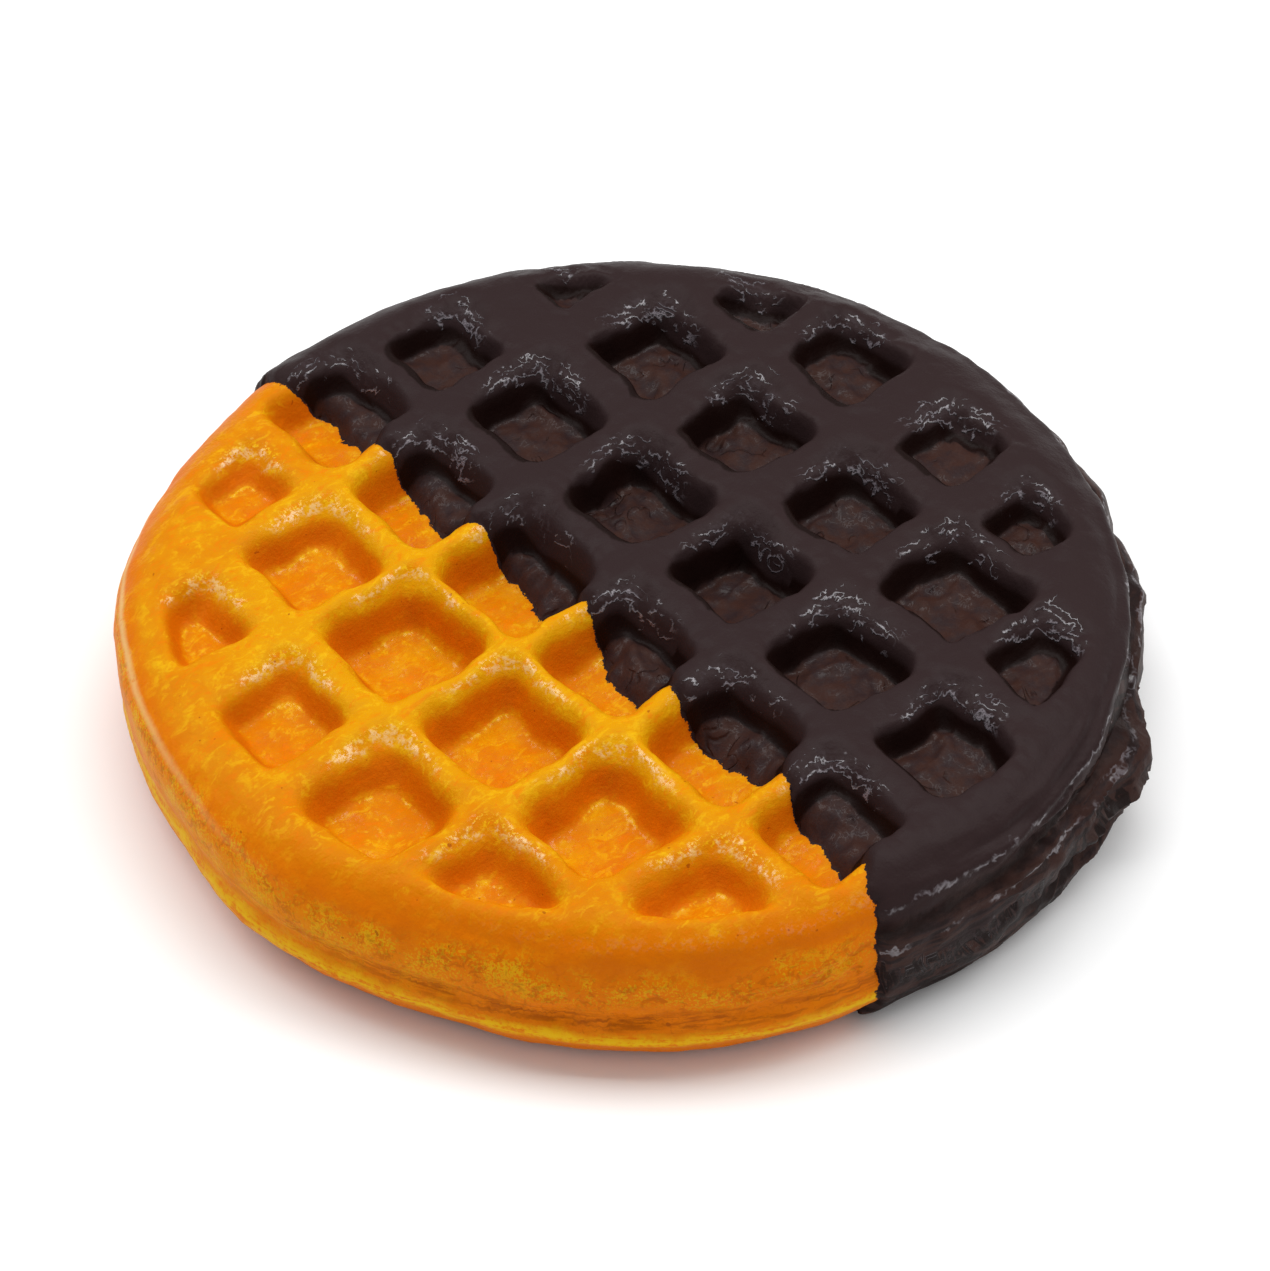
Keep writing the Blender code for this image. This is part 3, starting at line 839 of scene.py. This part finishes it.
def chocolate_finish(colours):
    """Dark and satin: pale wrinkles at the crests as painted highlights, browner floors and rim, and near
    black painted shade on the walls and in the grooves.
    """
    f = Finish("dark_chocolate")
    place = f.place()
    share, inward, far, near = map(f.attribute, ("share", "inward", "far", "near"))
    around, degrees = map(f.attribute, ("around", "degrees"))
    patchy = f.grain(4, place, 3, 0.6)
    mottle = f.grain(1.8, place, 4, 0.6)
    fine = f.grain(0.5, place, 3, 0.6)
    squiggle = f.grain(2.2, place, 2, 0.5, twist=1.0)
    scratch = f.grain(1.1, place, 2, 0.6, twist=1.0)
    crack = f.grain(7, place, 2, 0.5, twist=1.0)
    streak = f.grain(0.7, place, 3, 0.6, stretch=(0.13, 0.13, 1))
    floor = share.between(0.9, 1.0)
    colour = f.mix(floor * mottle.between(0.3, 0.65), colours.chocolate, colours.cocoa)
    brown = around.between(0.5, 0.8) * (streak * 0.8 + patchy * 0.4).between(0.5, 0.64)
    colour = f.mix(brown * 0.8, colour, colours.cocoa)
    # Painted shade: near black streaks under the shoulder
    dark = around.between(0.6, 0.8) * (1 - (streak + (mottle - 0.5) * 0.5).between(0.36, 0.5))
    colour = f.mix(dark * 0.6, colour, colours.shade)
    # Painted shade: near black on the pocket walls
    colour = f.mix(share.between(0.06, 0.3) * (1 - floor) * 0.95, colour, colours.shade)

    # Painted highlights: thin pale strands along the crests at the far corners, where the skin has wrinkled
    along = inward + (squiggle - 0.5) * 2.6 + (scratch - 0.5) * 0.9 + (fine - 0.5) * 0.4
    strands = along.peak(-0.2, 0.2).most(along.peak(-0.95, 0.15) * mottle.between(0.42, 0.5))
    strands = strands.most(along.peak(-1.75, 0.12) * patchy.between(0.5, 0.56))
    broken = (mottle + (patchy - 0.5) * 0.9).between(0.42, 0.52)
    highlight_strands = strands * far.between(0.1, 0.4) * broken
    highlight_haze = inward.peak(-0.9, 1.3) * far.between(0.2, 0.8) * (mottle * 0.6 + fine * 0.5).between(0.5, 0.7)
    colour = f.mix(highlight_strands.most(highlight_haze * 0.12) * 0.8, colour, colours.painted_highlight_grey)

    # The rim: two thin bright lines along the shoulder as painted highlights, and a dark groove between them
    # and a slot at the front as painted shade
    turned = around + (squiggle - 0.5) * 0.16 + (scratch - 0.5) * 0.08
    shoulder = turned.peak(0.53, 0.025).most(turned.peak(0.84, 0.02)) * (mottle + patchy).between(0.9, 1.1)
    colour = f.mix(shoulder * 0.5, colour, colours.painted_highlight_grey)
    groove = (turned.peak(0.69, 0.1) * 0.9).most(turned.peak(0.78, 0.14) * degrees.peak(*SLOT_SHADE_ARC))

    # Painted shade: dark lines in the fine creases on the floors and at the near edges of the pockets
    creased = floor * crack.peak(0.5, 0.02) * patchy.between(0.5, 0.6)
    edge = (inward + (squiggle - 0.5)).peak(0.4, 0.35) * near
    colour = f.mix((creased * 0.4).most(edge * 0.95).most(groove), colour, colours.shade)
    wet = floor * scratch.peak(0.5, 0.05) * 0.08
    gloss = (highlight_strands * 0.55 + shoulder * 0.5 + wet).least(1)
    bumped = f.bump(mottle * 0.6 + fine * 0.4, 0.12 * MM)
    bumped = f.bump(highlight_strands, 0.2 * MM, normal=bumped)
    bumped = f.bump(1 - creased, 0.1 * MM, normal=bumped)
    return f.finish(
        Base_Color=colour,
        Roughness=0.47 + (mottle - 0.5) * 0.25,
        Normal=bumped,
        Specular_IOR_Level=0.08,
        Coat_Weight=gloss,
        Coat_Roughness=0.2,
        Coat_IOR=1.9,
    )


class WAFFLE_OT_body(bpy.types.Operator):
    """Builds the painted waffle, with pockets in both faces"""

    bl_idname = "waffle.body"
    bl_label = "Waffle"

    def execute(self, context):
        sizes = context.scene.waffle_sizes
        bm = round_cloth(sizes, sizes.lines)
        surface = Surface(bm, sizes).roll()
        under_coat = soft_step(surface.past_dip, *UNDER_COAT)
        lay(bm, surface.points(UNDER_COAT_LIFT * under_coat, False))
        body = mesh_from("painted_waffle", bm, surface.facts())
        body.data.materials.append(painted_finish(context.scene.waffle_colours))
        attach(body, "root")
        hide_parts("waffle")
        return {"FINISHED"}


class WAFFLE_OT_coat(bpy.types.Operator):
    """Builds the chocolate, a shell that thins out to nothing at the edge of the dip"""

    bl_idname = "waffle.coat"
    bl_label = "Chocolate coat"

    def execute(self, context):
        sizes = context.scene.waffle_sizes
        outer = self.dipped_cloth(sizes, sizes.coat_lines)
        inner = self.dipped_cloth(sizes, sizes.hidden_lines)
        outside = Surface(outer, sizes).roll()
        inside = Surface(inner, sizes).roll()
        past = outside.ragged_dip
        swell = sizes.coat * (1 - np.exp(-np.maximum(past, 0) / COAT_TAPER))
        swell = np.maximum(np.where(past > 0, swell, past) + COAT_EDGE, COAT_LEAST)
        thin = outside.points(swell, False)
        full = outside.points(swell, True)
        share = soft_step(past, *COAT_FORM)[:, None]
        outer_points = thin * (1 - share) + full * share
        inner_points = inside.points(np.full(len(inner.verts), COAT_INSIDE), False)
        lay(outer, outer_points)
        lay(inner, inner_points)
        bmesh.ops.reverse_faces(inner, faces=inner.faces[:])
        inner_mesh = bpy.data.meshes.new("coat_inside")
        inner.to_mesh(inner_mesh)
        inner.free()
        outer.from_mesh(inner_mesh)
        bpy.data.meshes.remove(inner_mesh)
        bmesh.ops.bridge_loops(outer, edges=[edge for edge in outer.edges if edge.is_boundary])
        bmesh.ops.recalc_face_normals(outer, faces=outer.faces[:])
        hidden = inside.facts()
        facts = {name: np.append(values, hidden[name]) for name, values in outside.facts().items()}
        coat = mesh_from("chocolate_coat_shell", outer, facts)
        coat.data.materials.append(chocolate_finish(context.scene.waffle_colours))
        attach(coat, "root")
        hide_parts("chocolate_coat")
        return {"FINISHED"}

    def dipped_cloth(self, sizes, lines):
        """The part of a round cloth that lies past the edge of the dip, and a little before it."""
        bm = round_cloth(sizes, lines)
        past = Surface(bm, sizes).past_dip
        bare = [v for v, beyond in zip(bm.verts[:], past) if beyond < -DIP_TUCK]
        bmesh.ops.delete(bm, geom=bare, context="VERTS")
        bmesh.ops.delete(bm, geom=[v for v in bm.verts if not v.link_faces], context="VERTS")
        return bm


class WAFFLE_OT_stage(bpy.types.Operator):
    """Sets up the pale table, the soft lamp overhead, the room light and the camera"""

    bl_idname = "waffle.stage"
    bl_label = "Stage"

    def execute(self, context):
        studio = context.scene.waffle_studio
        self.table()
        self.lamp(studio)
        self.room(studio)
        self.camera(studio)
        return {"FINISHED"}

    def table(self):
        bm = bmesh.new()
        bmesh.ops.create_grid(bm, x_segments=1, y_segments=1, size=3)
        mesh = bpy.data.meshes.new("table")
        bm.to_mesh(mesh)
        bm.free()
        table = bpy.data.objects.new("table", mesh)
        bpy.context.scene.collection.objects.link(table)
        f = Finish("table_white")
        mesh.materials.append(f.finish(Base_Color=(0.97, 0.97, 0.97), Roughness=0.9))

    def lamp(self, studio):
        data = bpy.data.lights.new("overhead_lamp", "AREA")
        data.shape = "RECTANGLE"
        data.size = studio.lamp_width
        data.size_y = studio.lamp_depth
        data.energy = studio.lamp_power
        lamp = bpy.data.objects.new("overhead_lamp", data)
        place = Vector(studio.lamp_place)
        lamp.matrix_world = Matrix.Translation(place) @ place.to_track_quat("Z", "Y").to_matrix().to_4x4()
        bpy.context.scene.collection.objects.link(lamp)

    def room(self, studio):
        world = bpy.data.worlds.new("room")
        world.use_nodes = True
        background = world.node_tree.nodes["Background"]
        background.inputs["Color"].default_value = (1, 1, 1, 1)
        background.inputs["Strength"].default_value = studio.room
        bpy.context.scene.world = world
        bpy.context.scene.view_settings.view_transform = "Standard"

    def camera(self, studio):
        data = bpy.data.cameras.new("camera")
        data.sensor_fit = "VERTICAL"
        data.sensor_height = 36
        data.lens = studio.lens
        data.clip_start = 0.01
        camera = bpy.data.objects.new("camera", data)
        bpy.context.scene.collection.objects.link(camera)
        azimuth, elevation = studio.azimuth, studio.elevation
        level = math.cos(elevation)
        back = Vector((math.sin(azimuth) * level, -math.cos(azimuth) * level, math.sin(elevation)))
        turn = back.to_track_quat("Z", "Y").to_matrix().to_4x4() @ Matrix.Rotation(studio.roll, 4, "Z")
        camera.matrix_world = Matrix.Translation(Vector(studio.target) + back * studio.distance) @ turn
        bpy.context.scene.camera = camera


class WAFFLE_PT_panel(bpy.types.Panel):
    """Lists the steps and their settings"""

    bl_label = "Chocolate-dipped waffle"
    bl_idname = "WAFFLE_PT_panel"
    bl_space_type = "VIEW_3D"
    bl_region_type = "UI"
    bl_category = "Waffle"

    def draw(self, context):
        layout = self.layout
        for operator in STEPS:
            layout.operator(operator.bl_idname)
        for name in GROUPS:
            group = getattr(context.scene, name)
            box = layout.box()
            for setting in group.bl_rna.properties:
                if not setting.is_readonly and setting.identifier != "name":
                    box.prop(group, setting.identifier)


STEPS = (WAFFLE_OT_body, WAFFLE_OT_coat, WAFFLE_OT_stage)
GROUPS = {"waffle_sizes": WaffleSizes, "waffle_colours": WaffleColours, "waffle_studio": WaffleStudio}
CLASSES = (*GROUPS.values(), *STEPS, WAFFLE_PT_panel)


def register():
    for cls in CLASSES:
        bpy.utils.register_class(cls)
    for name, group in GROUPS.items():
        setattr(bpy.types.Scene, name, PointerProperty(type=group))


def unregister():
    for name in GROUPS:
        delattr(bpy.types.Scene, name)
    for cls in reversed(CLASSES):
        bpy.utils.unregister_class(cls)


def main():
    register()
    bpy.ops.waffle.body()
    bpy.ops.waffle.coat()
    bpy.ops.waffle.stage()


if __name__ == "__main__":
    main()
